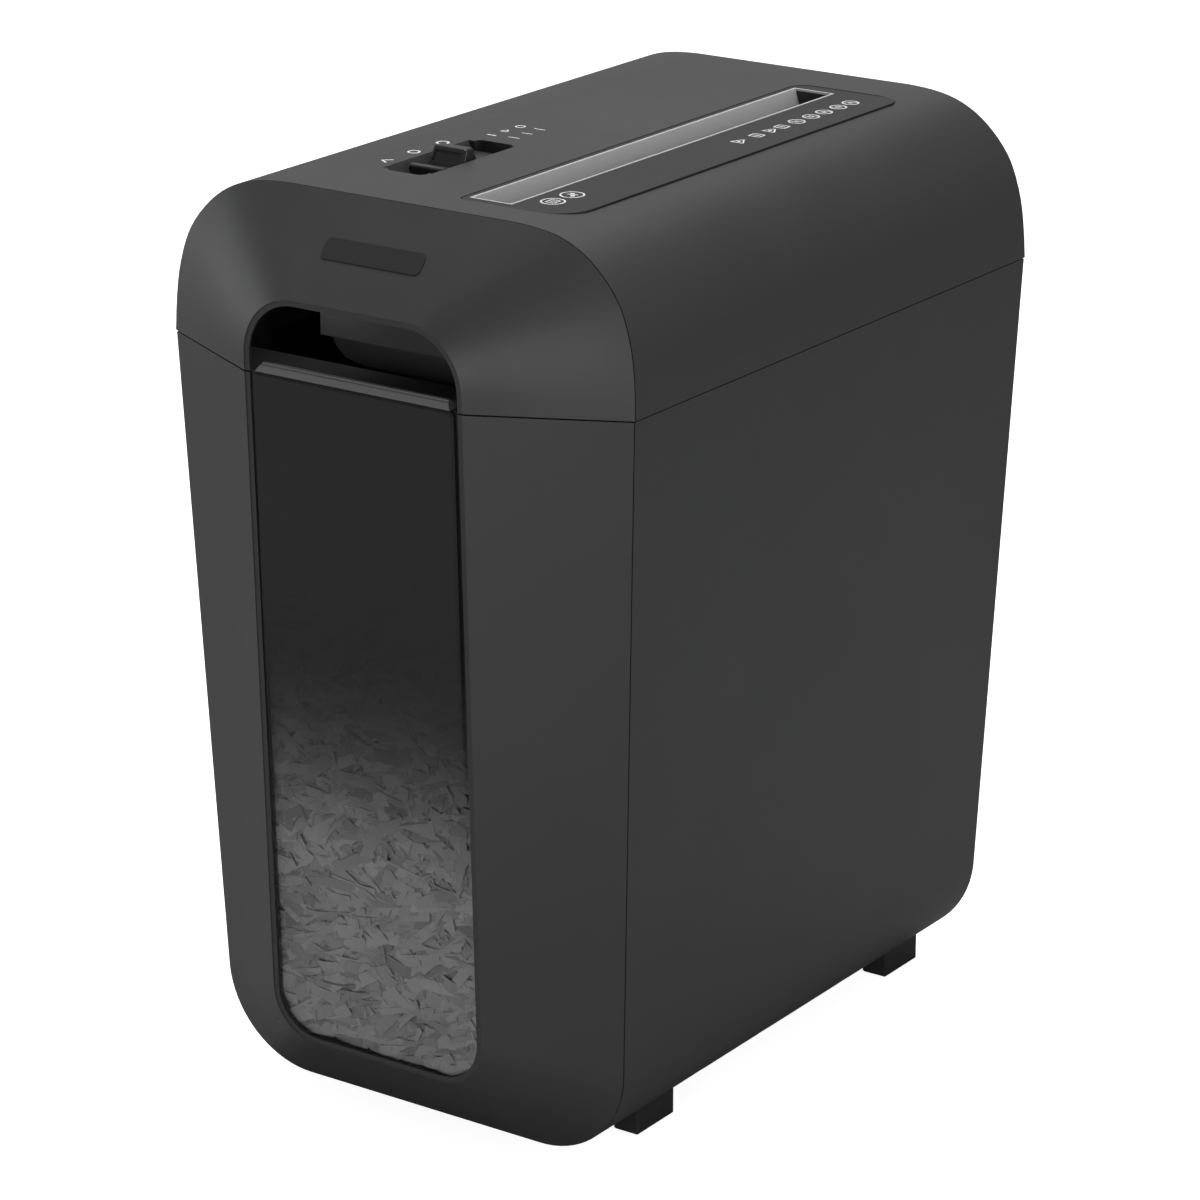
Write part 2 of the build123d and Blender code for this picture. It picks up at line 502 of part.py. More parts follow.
hexb = lambda x, af, y0, y1: ypoly(hexpts(x, CUT_Z, af), y0 - 1, y1 + 1)
put("timing_gear_left", gear(XL, CUT_Z, 2.0, 18, 6.0, 14.0, 0.0, hexb(XL, 12.0, 6, 14)))
put("timing_gear_right", gear(XR, CUT_Z, 2.0, 18, 6.0, 14.0, 10.0, hexb(XR, 12.0, 6, 14)))
tI = math.degrees(math.atan2(IDZ - CUT_Z, IDX - XL))      # cutter shaft to idler
tM = math.degrees(math.atan2(IDZ - MOT[1], IDX - MOT[0]))  # motor to idler
put("drive_gear", gear(XL, CUT_Z, 1.5, 36, 253.6, 260.4, tI, hexb(XL, 12.0, 253, 261)))
ib = ypoly(ngon(IDX, IDZ, 3.08 / math.cos(math.pi / 16), 16), 250, 280)
put("idler_pinion", gear(IDX, IDZ, 1.5, 12, 253.2, 261.6, tI + 180 + 15, ib))
put("idler_wheel", gear(IDX, IDZ, 1.0, 48, 261.6, 267.0, tM + 180 + 3.75, ib))
put("idler_spindle", yc(IDX, IDZ, 3.0, PL_R[0] - 1.0, 273.8) + yc(IDX, IDZ, 5.0, PL_R[0] - 3.0, PL_R[0]))
mb = yc(MOT[0], MOT[1], 2.52, 255, 275)
put("motor_pinion", gear(MOT[0], MOT[1], 1.0, 12, 260.8, 268.0, tM, mb))
put("motor_shaft", yc(MOT[0], MOT[1], 2.5, 146.0, 269.0) + yc(MOT[0], MOT[1], 10.0, 168, 212))
can = yc(MOT[0], MOT[1], MOT_R, 152, 244) - yc(MOT[0], MOT[1], MOT_R - 2, 150, 242) - yc(MOT[0], MOT[1], 2.56, 230, 250)
for s in (-1, 1):
    can += yc(MOT[0], MOT[1] + s * 17, 3.4, 244, 249) - yc(MOT[0], MOT[1] + s * 17, 1.5, 242, 251)
can += yc(MOT[0], MOT[1], 7.9, 243.9, 250.5) - yc(MOT[0], MOT[1], 2.56, 230, 252)
put("motor_can", can)
put("motor_end_cap", yc(MOT[0], MOT[1], MOT_R, 148, 152) + yc(MOT[0], MOT[1], MOT_R - 2.05, 152, 156) - yc(MOT[0], MOT[1], 2.56, 140, 160))
ms = None
for s in (-1, 1):
    b = yc(MOT[0], MOT[1] + s * 17, 3.4, 251.5, 253.2) + yc(MOT[0], MOT[1] + s * 17, 1.48, 244.2, 251.6)
    ms = b if ms is None else ms + b
put("motor_screws", ms)
gb = bx(-74, 42, 271.6, 273.6, -9, 58)
gb = gb + bx(-74, 42, 253.2, 271.7, 56, 58) + bx(-74, -72, 253.2, 271.7, -9, 58) + bx(40, 42, 253.2, 271.7, -9, 58)
gb -= yc(IDX, IDZ, 3.02, 268, 276)
so = None
for x, z in ((-68.0, 50.0), (-68.0, -3.0), (35.5, -3.0)):
    gb -= yc(x, z, 1.6, 270, 276)
    b = yc(x, z, 3.2, PL_R[1], 271.6) + yc(x, z, 1.5, 271.5, 273.6) + yc(x, z, 2.8, 273.6, 275.2)
    so = b if so is None else so + b
put("gearbox_screws", so)
put("gearbox_cover", gb)
put("motor_capacitor", yc(-62, -3.4, 8.0, 110, 142))

# guard in front of the timing gears, seen through the hand-hold
gx0, gx1 = -37.5, 74.0
gd = bx(gx0, gx1, 1.5, 4.0, 9.0, 52) + bx(gx0, gx0 + 2, 1.5, 16.8, 9.0, 52) + bx(gx1 - 2, gx1, 1.5, 16.8, 9.0, 40)
gd = gd - bx(gx1 - 10, gx1 + 5, 0, 10, -5, 10) + ypoly([(-33, 9.5), (-31, 5.5), (-26.5, 1.5), (-18, -0.5), (64, -0.5), (64, 9.5)], 2.6, 3.9)
put("gear_guard", gd)

# ---- bin interlock ---------------------------------------------------------
sw2 = bx(-70, -50, 272.2, 278.6, -34, -18) - yc(-60, -26, 2.3, 262, 277.4)
put("interlock_switch", sw2)
put("interlock_plunger", yc(-60, -26, 2.2, 268.4, 276.0))

# ---- blank badge on the lid's front facet -------------------------------
n = Vector(0, -(65.7 - 30.8), NOSE + 2.9).normalized()
c0 = Vector(0, (f_lid(65.7) + f_bez(30.8)) / 2, (65.7 + 30.8) / 2) + n * 0.05
pl = Plane(origin=(c0.X, c0.Y, c0.Z), x_dir=(1, 0, 0), z_dir=(n.X, n.Y, n.Z))
bd = extrude(pl * RectangleRounded(46, 9, 2.5), amount=0.35)
put("badge_plate", bd)
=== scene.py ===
import bpy
import math
import numpy as np
from mathutils import Matrix, Vector


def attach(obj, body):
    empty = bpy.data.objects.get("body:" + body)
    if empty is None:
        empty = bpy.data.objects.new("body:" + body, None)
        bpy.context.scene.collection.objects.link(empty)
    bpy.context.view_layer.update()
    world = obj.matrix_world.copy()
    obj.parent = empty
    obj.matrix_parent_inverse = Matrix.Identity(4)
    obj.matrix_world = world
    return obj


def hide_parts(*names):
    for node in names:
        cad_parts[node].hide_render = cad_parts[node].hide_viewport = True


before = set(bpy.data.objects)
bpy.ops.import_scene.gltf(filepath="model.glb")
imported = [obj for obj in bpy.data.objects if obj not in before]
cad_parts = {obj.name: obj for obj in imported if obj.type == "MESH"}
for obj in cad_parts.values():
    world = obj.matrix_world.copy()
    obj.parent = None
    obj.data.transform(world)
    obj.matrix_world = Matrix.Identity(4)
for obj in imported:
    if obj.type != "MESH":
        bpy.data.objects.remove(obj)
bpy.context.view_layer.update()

MM = 0.001
# offset from the seam frame used for design numbers to the row frame, in mm
DZ = 314.4
DY = -(282.5 + 1.7 - 28.3 - 0.032 * 30.8) / 2.0
rng = np.random.default_rng(20261119)


def P(x, y, z):
    return ((x) * MM, (y + DY) * MM, (z + DZ) * MM)


# ------------------------------------------------------------------ camera
az, el = math.radians(34.81442), math.radians(19.10996)
back = Vector((math.sin(az) * math.cos(el), -math.cos(az) * math.cos(el), math.sin(el)))
right = Vector((math.cos(az), math.sin(az), 0))
up = back.cross(right)
cam_data = bpy.data.cameras.new("camera")
cam_data.sensor_fit = "HORIZONTAL"
cam_data.sensor_width = 36.0
cam_data.lens = 4537.219 * 36.0 / 1200.0
cam_data.clip_end = 50
cam = bpy.data.objects.new("camera", cam_data)
bpy.context.scene.collection.objects.link(cam)
M = Matrix((right, up, back)).transposed().to_4x4()
M.translation = Vector(P(993.136, -1295.658, 475.592))
cam.matrix_world = M
bpy.context.scene.camera = cam
bpy.context.scene.view_settings.view_transform = "Standard"


# --------------------------------------------------------------- materials
def srgb(v):
    v = v / 255.0
    return v / 12.92 if v <= 0.04045 else ((v + 0.055) / 1.055) ** 2.4


def new_mat(name):
    m = bpy.data.materials.new(name)
    m.use_nodes = True
    nt = m.node_tree
    nt.nodes.clear()
    out = nt.nodes.new("ShaderNodeOutputMaterial")
    b = nt.nodes.new("ShaderNodeBsdfPrincipled")
    nt.links.new(b.outputs[0], out.inputs[0])
    return m, nt, b


def plastic(name, grey, rough=0.42, grain=2600.0, bump=0.04, spec=0.5, tint=(1, 1, 1), var=0.06, dust=0.0, coarse=0.0, coat=0.0, metallic=0.0):
    """Moulded plastic: fine spark-eroded grain, slow colour drift and slight roughness drift."""
    m, nt, b = new_mat(name)
    N, L = nt.nodes, nt.links
    tc = N.new("ShaderNodeTexCoord")
    slow = N.new("ShaderNodeTexNoise"); slow.inputs["Scale"].default_value = 14.0; slow.inputs["Detail"].default_value = 3.0
    fine = N.new("ShaderNodeTexNoise"); fine.inputs["Scale"].default_value = grain; fine.inputs["Detail"].default_value = 2.0
    fine.inputs["Roughness"].default_value = 0.6
    L.new(tc.outputs["Object"], slow.inputs["Vector"]); L.new(tc.outputs["Object"], fine.inputs["Vector"])
    g = srgb(grey)
    ramp = N.new("ShaderNodeMapRange")
    ramp.inputs["From Min"].default_value = 0.3; ramp.inputs["From Max"].default_value = 0.7
    ramp.inputs["To Min"].default_value = 1.0 - var; ramp.inputs["To Max"].default_value = 1.0 + var
    L.new(slow.outputs["Fac"], ramp.inputs["Value"])
    fr = N.new("ShaderNodeMapRange")
    fr.inputs["From Min"].default_value = 0.35; fr.inputs["From Max"].default_value = 0.65
    fr.inputs["To Min"].default_value = 1.0 - coarse - var * 0.5; fr.inputs["To Max"].default_value = 1.0 + coarse + var * 0.5
    L.new(fine.outputs["Fac"], fr.inputs["Value"])
    mul = N.new("ShaderNodeMath"); mul.operation = "MULTIPLY"
    L.new(ramp.outputs[0], mul.inputs[0]); L.new(fr.outputs[0], mul.inputs[1])
    col = N.new("ShaderNodeVectorMath"); col.operation = "SCALE"
    col.inputs[0].default_value = (g * tint[0], g * tint[1], g * tint[2])
    L.new(mul.outputs[0], col.inputs["Scale"])
    L.new(col.outputs[0], b.inputs["Base Color"])
    rr = N.new("ShaderNodeMapRange")
    rr.inputs["From Min"].default_value = 0.3; rr.inputs["From Max"].default_value = 0.7
    rr.inputs["To Min"].default_value = rough - 0.04; rr.inputs["To Max"].default_value = rough + 0.05
    L.new(slow.outputs["Fac"], rr.inputs["Value"]); L.new(rr.outputs[0], b.inputs["Roughness"])
    bp = N.new("ShaderNodeBump"); bp.inputs["Strength"].default_value = bump; bp.inputs["Distance"].default_value = 0.0002
    L.new(fine.outputs["Fac"], bp.inputs["Height"]); L.new(bp.outputs[0], b.inputs["Normal"])
    b.inputs["Specular IOR Level"].default_value = spec
    b.inputs["Metallic"].default_value = metallic
    if coat:
        b.inputs["Coat Weight"].default_value = coat
        b.inputs["Coat Roughness"].default_value = 0.12
    return m


def metal(name, grey, rough=0.32, axis=1, tint=(1, 1, 1), streak=0.12):
    """Rolled or turned metal: long streaks along one axis."""
    m, nt, b = new_mat(name)
    N, L = nt.nodes, nt.links
    tc = N.new("ShaderNodeTexCoord")
    mp = N.new("ShaderNodeMapping")
    sc = [900.0, 900.0, 900.0]; sc[axis] = 18.0
    mp.inputs["Scale"].default_value = sc
    L.new(tc.outputs["Object"], mp.inputs["Vector"])
    n = N.new("ShaderNodeTexNoise"); n.inputs["Scale"].default_value = 1.0; n.inputs["Detail"].default_value = 4.0
    L.new(mp.outputs[0], n.inputs["Vector"])
    r = N.new("ShaderNodeMapRange"); r.inputs["To Min"].default_value = rough - streak; r.inputs["To Max"].default_value = rough + streak
    L.new(n.outputs["Fac"], r.inputs["Value"]); L.new(r.outputs[0], b.inputs["Roughness"])
    cr = N.new("ShaderNodeMapRange"); cr.inputs["To Min"].default_value = 0.82; cr.inputs["To Max"].default_value = 1.12
    L.new(n.outputs["Fac"], cr.inputs["Value"])
    g = srgb(grey)
    col = N.new("ShaderNodeVectorMath"); col.operation = "SCALE"; col.inputs[0].default_value = (g * tint[0], g * tint[1], g * tint[2])
    L.new(cr.outputs[0], col.inputs["Scale"]); L.new(col.outputs[0], b.inputs["Base Color"])
    bp = N.new("ShaderNodeBump"); bp.inputs["Strength"].default_value = 0.05; bp.inputs["Distance"].default_value = 0.0001
    L.new(n.outputs["Fac"], bp.inputs["Height"]); L.new(bp.outputs[0], b.inputs["Normal"])
    b.inputs["Metallic"].default_value = 1.0
    return m


def window_mat():
    """Smoked acrylic. Its fade from clearer low down to nearly opaque towards the top is painted shade, standing in for
    the dark bin interior above the heap.
    """
    m, nt, b = new_mat("smoked_window")
    N, L = nt.nodes, nt.links
    tc = N.new("ShaderNodeTexCoord")
    sep = N.new("ShaderNodeSeparateXYZ"); L.new(tc.outputs["Object"], sep.inputs[0])
    # alpha fade with height: painted shade of the dark bin interior
    ramp = N.new("ShaderNodeMapRange"); ramp.interpolation_type = "SMOOTHSTEP"
    ramp.inputs["From Min"].default_value = (DZ - 204.0) * MM
    ramp.inputs["From Max"].default_value = (DZ - 58.0) * MM
    ramp.inputs["To Min"].default_value = WIN_A0
    ramp.inputs["To Max"].default_value = WIN_A1
    L.new(sep.outputs["Z"], ramp.inputs["Value"])
    L.new(ramp.outputs[0], b.inputs["Alpha"])
    n = N.new("ShaderNodeTexNoise"); n.inputs["Scale"].default_value = 30.0; n.inputs["Detail"].default_value = 2.0
    L.new(tc.outputs["Object"], n.inputs["Vector"])
    c = N.new("ShaderNodeMapRange"); c.inputs["To Min"].default_value = 0.9; c.inputs["To Max"].default_value = 1.1
    L.new(n.outputs["Fac"], c.inputs["Value"])
    col = N.new("ShaderNodeVectorMath"); col.operation = "SCALE"; g = srgb(50); col.inputs[0].default_value = (g, g, g * 1.02)
    L.new(c.outputs[0], col.inputs["Scale"]); L.new(col.outputs[0], b.inputs["Base Color"])
    r = N.new("ShaderNodeMapRange"); r.inputs["To Min"].default_value = 0.10; r.inputs["To Max"].default_value = 0.17
    L.new(n.outputs["Fac"], r.inputs["Value"]); L.new(r.outputs[0], b.inputs["Roughness"])
    bp = N.new("ShaderNodeBump"); bp.inputs["Strength"].default_value = 0.02; bp.inputs["Distance"].default_value = 0.0003
    L.new(n.outputs["Fac"], bp.inputs["Height"]); L.new(bp.outputs[0], b.inputs["Normal"])
    b.inputs["Specular IOR Level"].default_value = 0.35
    return m


def paper_mat(name, lo, hi):
    """Office paper: each strip gets its own shade from its 'shade' attribute, with fine fibre."""
    m, nt, b = new_mat(name)
    N, L = nt.nodes, nt.links
    at = N.new("ShaderNodeAttribute"); at.attribute_name = "shade"; at.attribute_type = "GEOMETRY"
    tc = N.new("ShaderNodeTexCoord")
    n = N.new("ShaderNodeTexNoise"); n.inputs["Scale"].default_value = 700.0; n.inputs["Detail"].default_value = 3.0
    L.new(tc.outputs["Object"], n.inputs["Vector"])
    r = N.new("ShaderNodeMapRange"); r.inputs["To Min"].default_value = srgb(lo); r.inputs["To Max"].default_value = srgb(hi)
    L.new(at.outputs["Fac"], r.inputs["Value"])
    f = N.new("ShaderNodeMapRange"); f.inputs["To Min"].default_value = 0.93; f.inputs["To Max"].default_value = 1.07
    L.new(n.outputs["Fac"], f.inputs["Value"])
    mu = N.new("ShaderNodeMath"); mu.operation = "MULTIPLY"; L.new(r.outputs[0], mu.inputs[0]); L.new(f.outputs[0], mu.inputs[1])
    cb = N.new("ShaderNodeCombineColor")
    for i in range(3):
        L.new(mu.outputs[0], cb.inputs[i])
    L.new(cb.outputs[0], b.inputs["Base Color"])
    b.inputs["Roughness"].default_value = 0.85
    b.inputs["Specular IOR Level"].default_value = 0.2
    bp = N.new("ShaderNodeBump"); bp.inputs["Strength"].default_value = 0.15; bp.inputs["Distance"].default_value = 0.0001
    L.new(n.outputs["Fac"], bp.inputs["Height"]); L.new(bp.outputs[0], b.inputs["Normal"])
    return m


# window alpha at the bottom and top of the painted-shade fade
WIN_A0, WIN_A1 = 0.15, 0.90
mats = {
    "charcoal": plastic("charcoal_plastic", 62, rough=0.46, grain=2400, bump=0.10, spec=0.5, tint=(0.99, 1.0, 1.02), var=0.03),
    "lip": plastic("lip_plastic", 122, rough=0.36, grain=2600, bump=0.05, spec=0.55, tint=(0.99, 1.0, 1.02), var=0.03),
    "label": plastic("label_film", 42, rough=0.5, grain=1900, bump=0.12, spec=0.45, var=0.03, coarse=0.22),
    "liner": plastic("liner_plastic", 200, rough=0.45, grain=2600, bump=0.05, spec=0.5, var=0.03),
    "knob": plastic("knob_plastic", 48, rough=0.30, grain=3000, bump=0.04, spec=0.55, var=0.03),
    "badge": plastic("badge_plate", 52, rough=0.30, grain=3000, bump=0.03, spec=0.55, var=0.02),
    "dark": plastic("dark_plastic", 40, rough=0.5, grain=2200, bump=0.08, spec=0.4, var=0.05),
    "guard": plastic("guard_plastic", 66, rough=0.5, grain=2200, bump=0.08, spec=0.4, var=0.05),
    "rubber": plastic("rubber", 50, rough=0.7, grain=1500, bump=0.2, spec=0.3, var=0.08),
    "steel": metal("plated_steel", 165, rough=0.34, axis=1),
    "plate": metal("rolled_steel_plate", 158, rough=0.38, axis=0),
    "hard": metal("ground_steel", 138, rough=0.28, axis=2),
    "bronze": metal("bush_bronze", 150, rough=0.4, axis=1, tint=(1.15, 0.86, 0.5)),
    "comb": plastic("comb_plastic", 176, rough=0.5, bump=0.06, var=0.05),
    "acetal": plastic("acetal", 205, rough=0.42, bump=0.05, tint=(1, 0.99, 0.94), var=0.04),
    "board": plastic("solder_resist", 92, rough=0.35, grain=900, bump=0.06, tint=(0.35, 1.25, 0.55), var=0.12),
    "led": plastic("light_pipe", 236, rough=0.35, grain=2000, bump=0.03, tint=(0.97, 1.0, 1.02), var=0.04),
    "cap": plastic("capacitor_sleeve", 88, rough=0.25, bump=0.03, tint=(0.6, 0.8, 1.6), var=0.05),
    "ink": plastic("print_ink", 240, rough=0.5, grain=3000, bump=0.03, var=0.03),
    "window": window_mat(),
}


def paint_throat_shade(m):
    """The funnel is light down to the throat; the throat and the far end wall are darkened with painted shade, standing
    in for the shade deep in the slot.
    """
    nt = m.node_tree
    N, L = nt.nodes, nt.links
    b = [n for n in N if n.type == "BSDF_PRINCIPLED"][0]
    src = b.inputs["Base Color"].links[0].from_socket
    tc = N.new("ShaderNodeTexCoord")
    sp = N.new("ShaderNodeSeparateXYZ"); L.new(tc.outputs["Object"], sp.inputs[0])
    low = N.new("ShaderNodeMapRange"); low.inputs["From Min"].default_value = (DZ + 56.3) * MM; low.inputs["From Max"].default_value = (DZ + 57.3) * MM
    L.new(sp.outputs["Z"], low.inputs["Value"])
    far = N.new("ShaderNodeMath"); far.operation = "GREATER_THAN"; far.inputs[1].default_value = (DY + 245.85) * MM
    L.new(sp.outputs["Y"], far.inputs[0])
    und = N.new("ShaderNodeMath"); und.operation = "LESS_THAN"; und.inputs[1].default_value = (DZ + 64.9) * MM
    L.new(sp.outputs["Z"], und.inputs[0])
    both = N.new("ShaderNodeMath"); both.operation = "MULTIPLY"; L.new(far.outputs[0], both.inputs[0]); L.new(und.outputs[0], both.inputs[1])
    inv = N.new("ShaderNodeMath"); inv.operation = "SUBTRACT"; inv.inputs[0].default_value = 1.0; L.new(both.outputs[0], inv.inputs[1])
    mu = N.new("ShaderNodeMath"); mu.operation = "MULTIPLY"; L.new(low.outputs[0], mu.inputs[0]); L.new(inv.outputs[0], mu.inputs[1])
    mr = N.new("ShaderNodeMapRange"); mr.inputs["To Min"].default_value = 0.03; mr.inputs["To Max"].default_value = 1.0
    L.new(mu.outputs[0], mr.inputs["Value"])
    sc = N.new("ShaderNodeVectorMath"); sc.operation = "SCALE"
    L.new(src, sc.inputs[0]); L.new(mr.outputs[0], sc.inputs["Scale"]); L.new(sc.outputs[0], b.inputs["Base Color"])


# painted shade in the slot liner's throat and far end wall
paint_throat_shade(mats["liner"])


def paint_shade_below(m, z, lo):
    """The gear guard is darker at its lower lip: painted shade where the lip sits deep in the hand hold."""
    nt = m.node_tree
    N, L = nt.nodes, nt.links
    b = [n for n in N if n.type == "BSDF_PRINCIPLED"][0]
    src = b.inputs["Base Color"].links[0].from_socket
    tc = N.new("ShaderNodeTexCoord")
    sp = N.new("ShaderNodeSeparateXYZ"); L.new(tc.outputs["Object"], sp.inputs[0])
    mr = N.new("ShaderNodeMapRange"); mr.inputs["From Min"].default_value = (DZ + z - 0.3) * MM; mr.inputs["From Max"].default_value = (DZ + z + 0.3) * MM
    mr.inputs["To Min"].default_value = lo; mr.inputs["To Max"].default_value = 1.0
    L.new(sp.outputs["Z"], mr.inputs["Value"])
    sc = N.new("ShaderNodeVectorMath"); sc.operation = "SCALE"
    L.new(src, sc.inputs[0]); L.new(mr.outputs[0], sc.inputs["Scale"]); L.new(sc.outputs[0], b.inputs["Base Color"])


# painted shade on the gear guard's lower lip
paint_shade_below(mats["guard"], 9.2, 0.5)
assign = {
    "charcoal": ["cabinet_shell", "top_cover", "bin_front"],
    "lip": ["bin_grip_lip"], "label": ["slot_label_panel"], "liner": ["slot_liner"], "knob": ["slide_switch_knob"],
    "badge": ["badge_plate"], "window": ["bin_window"], "guard": ["gear_guard"],
    "dark": ["bin_tub", "bin_glides", "cabinet_rails", "gearbox_cover", "slide_switch_body", "interlock_switch", "interlock_plunger",
             "cord_gland", "board_components", "motor_end_cap", "lid_posts"],
    "rubber": ["rubber_feet"],
    "steel": ["tie_rods", "tie_rod_nuts", "lid_screws", "foot_screws", "motor_screws", "gearbox_screws", "idler_spindle",
              "cutter_shaft_left", "cutter_shaft_right", "motor_shaft", "motor_can"],
    "plate": ["front_frame_plate", "rear_frame_plate", "chassis_deck", "frame_brackets"],
    "hard": ["cutter_discs_left", "cutter_discs_right", "timing_gear_left", "timing_gear_right", "motor_pinion"],
    "bronze": ["shaft_bushes"], "comb": ["stripper_comb_left", "stripper_comb_right"],
    "acetal": ["idler_pinion", "idler_wheel", "drive_gear"], "board": ["control_board", "board_posts"],
    "led": ["led_light_bars"], "cap": ["motor_capacitor"],
}
for k, ns in assign.items():
    for n in ns:
        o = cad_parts[n]
        o.data.materials.clear()
        o.data.materials.append(mats[k])


# -------------------------------------------------------------- mesh helper
def mesh_obj(name, verts, faces, mat, body, smooth=False, shade=None):
    me = bpy.data.meshes.new(name)
    me.from_pydata([tuple(v) for v in verts], [], faces)
    me.validate()
    me.update()
    if smooth:
        me.polygons.foreach_set("use_smooth", [True] * len(me.polygons))
    if shade is not None:
        a = me.attributes.new("shade", "FLOAT", "POINT")
        a.data.foreach_set("value", list(shade))
    ob = bpy.data.objects.new(name, me)
    bpy.context.scene.collection.objects.link(ob)
    ob.data.materials.append(mat)
    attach(ob, body)
    return ob


# ------------------------------------------------------------ printed marks
class Marks:
    """Low printed marks, drawn as thin raised prisms on a flat face at height z."""
    def __init__(self, z, t=0.06):
        self.z, self.t, self.v, self.f = z, t, [], []

    def poly(self, pts):
        n = len(pts)
        a = sum(pts[i][0] * pts[(i + 1) % n][1] - pts[(i + 1) % n][0] * pts[i][1] for i in range(n))
        if a < 0:
            pts = pts[::-1]
        s = len(self.v)
        for zz in (self.z, self.z + self.t):
            self.v += [P(x, y, zz) for x, y in pts]
        self.f.append([s + i for i in range(n)][::-1])
        self.f.append([s + n + i for i in range(n)])
        for i in range(n):
            j = (i + 1) % n
            self.f.append([s + i, s + j, s + n + j, s + n + i])

    def line(self, p, q, w):
        dx, dy = q[0] - p[0], q[1] - p[1]
        l = math.hypot(dx, dy)
        nx, ny = -dy / l * w / 2, dx / l * w / 2
        self.poly([(p[0] + nx, p[1] + ny), (q[0] + nx, q[1] + ny), (q[0] - nx, q[1] - ny), (p[0] - nx, p[1] - ny)])

    def ring(self, cx, cy, r, w, a0=0, a1=360, n=32):
        s = len(self.v)
        full = a1 - a0 >= 360
        k = n if full else n + 1
        for i in range(k):
            a = math.radians(a0 + (a1 - a0) * i / n)
            c, d = math.cos(a), math.sin(a)
            for rr, zz in ((r - w / 2, self.z), (r + w / 2, self.z), (r + w / 2, self.z + self.t), (r - w / 2, self.z + self.t)):
                self.v.append(P(cx + rr * c, cy + rr * d, zz))
        for i in range(n):
            j = (i + 1) % k
            for e in range(4):
                g = (e + 1) % 4
                self.f.append([s + 4 * i + e, s + 4 * j + e, s + 4 * j + g, s + 4 * i + g])
        if not full:
            self.f.append([s, s + 1, s + 2, s + 3])
            e = s + 4 * (k - 1)
            self.f.append([e + 3, e + 2, e + 1, e])

    def disc(self, cx, cy, r, n=20):
        self.poly([(cx + r * math.cos(2 * math.pi * i / n), cy + r * math.sin(2 * math.pi * i / n)) for i in range(n)])

    def outline(self, pts, w):
        for i in range(len(pts)):
            self.line(pts[i], pts[(i + 1) % len(pts)], w)

    def make(self, name, mat, body):
        return mesh_obj(name, self.v, self.f, mat, body)


LABZ = 65.7 - 0.15 + 0.01
mk = Marks(LABZ)
# two large ring marks with generic sheets inside
RX, RY1, RY2 = 46.2, 35.6, 48.0
for cy in (RY1, RY2):
    mk.ring(RX, cy, 4.5, 0.7)
mk.outline([(RX - 2.0, RY1 - 2.2), (RX + 2.0, RY1 - 2.2), (RX + 2.0, RY1 + 2.2), (RX - 2.0, RY1 + 2.2)], 0.6)
mk.line((RX - 1.2, RY1 - 0.6), (RX + 1.2, RY1 - 0.6), 0.5)
mk.line((RX - 1.2, RY1 + 0.7), (RX + 1.2, RY1 + 0.7), 0.5)
mk.poly([(RX - 2.2, RY2 + 1.6), (RX - 0.6, RY2 + 2.4), (RX + 2.4, RY2 - 1.6), (RX + 1.0, RY2 - 2.5)])
mk.line((RX - 2.4, RY2 - 0.4), (RX + 2.2, RY2 + 0.9), 0.7)
mk.make("label_ring_marks", mats["ink"], "housing")
mk = Marks(LABZ)
for i, cy in enumerate((155.7, 167.6, 178.1, 185.6)):
    if i in (0, 2):
        mk.outline([(47.6, cy - 2.6), (53.4, cy - 2.6), (50.5, cy + 2.8)], 0.65)
        mk.disc(50.5, cy - 0.9, 0.8)
    else:
        mk.outline([(48.0, cy - 2.2), (53.0, cy - 2.2), (53.0, cy + 2.2), (48.0, cy + 2.2)], 0.65)
        mk.line((49.0, cy), (52.0, cy), 0.8)
for i, cy in enumerate((196.6, 207.2, 216.9, 227.7, 237.0)):
    mk.ring(50.5, cy, 3.3, 0.65)
    mk.line((48.2, cy - 2.3), (52.8, cy + 2.3), 0.6)
    if i % 2:
        mk.line((49.0, cy - 1.2), (52.0, cy - 1.2), 0.45); mk.line((49.0, cy), (52.0, cy), 0.45); mk.line((49.0, cy + 1.2), (52.0, cy + 1.2), 0.45)
    else:
        mk.disc(50.5, cy, 1.2)
mk.make("label_row_marks", mats["ink"], "housing")
DECKZ = 65.7 + 0.005
mk = Marks(DECKZ)
mk.line((-44.9, 50.9), (-41.2, 53.4), 0.9)
mk.line((-44.9, 50.9), (-41.2, 48.4), 0.9)
mk.ring(-42.9, 68.4, 2.2, 0.85)
mk.ring(-42.9, 87.0, 2.3, 0.9)
mk.line((-36.9, 108.2), (-32.7, 108.2), 1.0)
mk.outline([(-36.0, 115.8), (-32.8, 115.8), (-34.4, 118.8)], 0.6)
mk.ring(-34.1, 126.5, 1.8, 0.65)
mk.make("deck_marks", mats["ink"], "housing")


